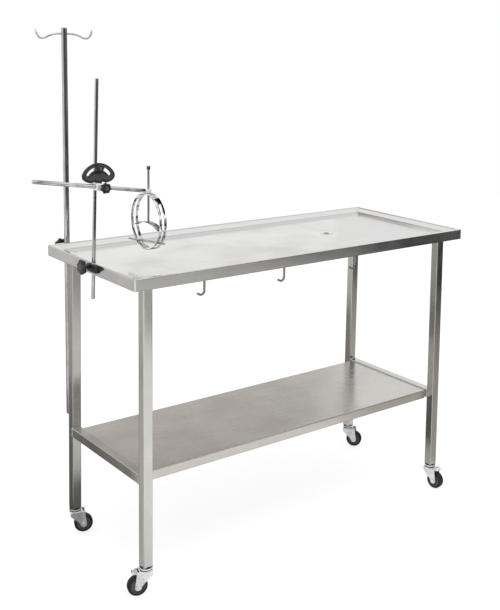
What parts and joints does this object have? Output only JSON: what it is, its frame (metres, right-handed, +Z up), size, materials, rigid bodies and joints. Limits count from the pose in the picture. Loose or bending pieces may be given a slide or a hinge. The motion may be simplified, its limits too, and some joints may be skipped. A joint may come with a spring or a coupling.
{
  "type": "animal dissection table",
  "caption": "Wheeled stainless table with a rimmed drain pan, lower shelf, tie hooks, infusion pole and an adjustable head holder with a slotted ring.",
  "frame": {"origin": "on the floor under the middle of the whole object's bounding box", "axes": "+Z up, +X along the table away from the head holder, -Y to the front with the tie hooks in view"},
  "size_m": [1.252, 0.5188, 1.362],
  "materials": {
    "steel": "satin stainless sheet and tube",
    "chrome": "bright plated or polished steel",
    "black": "matte black moulding",
    "tyre": "black rubber tread",
    "hub": "dark grey moulded hub"
  },
  "bodies": {
    "table": {"table_top": "steel", "drain_strainer": "chrome", "leg_front_left": "steel", "leg_front_right": "steel", "leg_rear_left": "steel", "leg_rear_right": "steel", "shelf_rail_left": "steel", "shelf_rail_right": "steel", "shelf_panel": "steel", "tie_hook_front_1": "chrome", "tie_hook_front_2": "chrome", "tie_hook_front_3": "chrome", "tie_hook_rear_1": "chrome", "tie_hook_rear_2": "chrome", "tie_hook_rear_3": "chrome", "pole_clamp": "black", "rod_clamp": "black", "caster_stem_front_left": "chrome", "caster_stem_front_right": "chrome", "caster_stem_rear_left": "chrome", "caster_stem_rear_right": "chrome"},
    "pole": {"iv_pole": "chrome", "iv_hooks": "chrome"},
    "pole_knob": {"pole_clamp_knob": "black"},
    "rod_knob": {"rod_clamp_knob": "black"},
    "rod": {"support_rod": "chrome"},
    "tilt_base": {"tilt_sleeve": "chrome", "tilt_arm": "black"},
    "tilt_head": {"tilt_plate": "black", "bar_clamp": "chrome"},
    "tilt_lock": {"tilt_knob": "black"},
    "bar_lock": {"bar_knob": "black"},
    "bar": {"cross_bar": "chrome", "ring_boss": "chrome", "head_ring": "chrome"},
    "press": {"press_screw": "chrome", "press_plate": "chrome"},
    "bite": {"bite_bar": "chrome"},
    "caster_front_left": {"caster_fork_front_left": "chrome", "caster_axle_front_left": "chrome"},
    "wheel_front_left": {"wheel_hub_front_left": "hub", "wheel_tyre_front_left": "tyre"},
    "pedal_front_left": {"brake_pedal_front_left": "chrome"},
    "caster_front_right": {"caster_fork_front_right": "chrome", "caster_axle_front_right": "chrome"},
    "wheel_front_right": {"wheel_hub_front_right": "hub", "wheel_tyre_front_right": "tyre"},
    "pedal_front_right": {"brake_pedal_front_right": "chrome"},
    "caster_rear_left": {"caster_fork_rear_left": "chrome", "caster_axle_rear_left": "chrome"},
    "wheel_rear_left": {"wheel_hub_rear_left": "hub", "wheel_tyre_rear_left": "tyre"},
    "caster_rear_right": {"caster_fork_rear_right": "chrome", "caster_axle_rear_right": "chrome"},
    "wheel_rear_right": {"wheel_hub_rear_right": "hub", "wheel_tyre_rear_right": "tyre"}
  },
  "joints": [
    {"name": "pole_height", "type": "slide", "parent": "table", "child": "pole", "axis": [0, 0, 1], "range_m": [-0.2, 0.4]},
    {"name": "pole_knob_turn", "type": "hinge", "parent": "table", "child": "pole_knob", "pos_m": [-0.40352, 0.21741, 0.784], "axis": [0, 1, 0], "continuous": true},
    {"name": "rod_knob_turn", "type": "hinge", "parent": "table", "child": "rod_knob", "pos_m": [-0.45705, -0.03789, 0.791], "axis": [-1, 0, 0], "continuous": true},
    {"name": "rod_height", "type": "slide", "parent": "table", "child": "rod", "axis": [0.0279, 0, 0.9996], "range_m": [-0.008, 0.04]},
    {"name": "holder_swivel", "type": "hinge", "parent": "rod", "child": "tilt_base", "pos_m": [-0.45126, -0.03789, 0.9983], "axis": [0.0279, 0, 0.9996], "range_deg": [-60, 60]},
    {"name": "holder_tilt", "type": "hinge", "parent": "tilt_base", "child": "tilt_head", "pos_m": [-0.45456, -0.03789, 0.99839], "axis": [0, 1, 0], "range_deg": [-42, 3]},
    {"name": "tilt_knob_turn", "type": "hinge", "parent": "tilt_base", "child": "tilt_lock", "pos_m": [-0.45462, -0.07239, 1.03269], "axis": [0, -1, 0], "continuous": true},
    {"name": "bar_knob_turn", "type": "hinge", "parent": "tilt_head", "child": "bar_lock", "pos_m": [-0.45011, -0.07239, 0.9878], "axis": [0, -1, 0], "continuous": true},
    {"name": "bar_reach", "type": "slide", "parent": "tilt_head", "child": "bar", "axis": [0.9885, 0, -0.1513], "range_m": [-0.06, 0.04]},
    {"name": "press_height", "type": "slide", "parent": "bar", "child": "press", "axis": [0, 0, 1], "range_m": [-0.016, 0.03]},
    {"name": "bite_shift", "type": "slide", "parent": "bar", "child": "bite", "axis": [0, -0.9962, 0.0872], "range_m": [-0.025, 0.025]},
    {"name": "swivel_front_left", "type": "hinge", "parent": "table", "child": "caster_front_left", "pos_m": [-0.41452, -0.21239, 0.06], "axis": [0, 0, 1], "continuous": true},
    {"name": "roll_front_left", "type": "hinge", "parent": "caster_front_left", "child": "wheel_front_left", "pos_m": [-0.43519, -0.20646, 0.025], "axis": [-0.2756, -0.9613, 0], "continuous": true},
    {"name": "brake_front_left", "type": "hinge", "parent": "caster_front_left", "child": "pedal_front_left", "pos_m": [-0.43519, -0.20646, 0.0575], "axis": [-0.2756, -0.9613, 0], "range_deg": [0, 12]},
    {"name": "swivel_front_right", "type": "hinge", "parent": "table", "child": "caster_front_right", "pos_m": [0.57648, -0.21239, 0.06], "axis": [0, 0, 1], "continuous": true},
    {"name": "roll_front_right", "type": "hinge", "parent": "caster_front_right", "child": "wheel_front_right", "pos_m": [0.57947, -0.23368, 0.025], "axis": [0.9903, 0.1392, 0], "continuous": true},
    {"name": "brake_front_right", "type": "hinge", "parent": "caster_front_right", "child": "pedal_front_right", "pos_m": [0.57947, -0.23368, 0.0575], "axis": [0.9903, 0.1392, 0], "range_deg": [0, 12]},
    {"name": "swivel_rear_left", "type": "hinge", "parent": "table", "child": "caster_rear_left", "pos_m": [-0.41452, 0.16661, 0.06], "axis": [0, 0, 1], "continuous": true},
    {"name": "roll_rear_left", "type": "hinge", "parent": "caster_rear_left", "child": "wheel_rear_left", "pos_m": [-0.39432, 0.15926, 0.025], "axis": [0.342, 0.9397, 0], "continuous": true},
    {"name": "swivel_rear_right", "type": "hinge", "parent": "table", "child": "caster_rear_right", "pos_m": [0.57648, 0.16661, 0.06], "axis": [0, 0, 1], "continuous": true},
    {"name": "roll_rear_right", "type": "hinge", "parent": "caster_rear_right", "child": "wheel_rear_right", "pos_m": [0.58972, 0.14967, 0.025], "axis": [0.788, 0.6157, 0], "continuous": true}
  ]
}
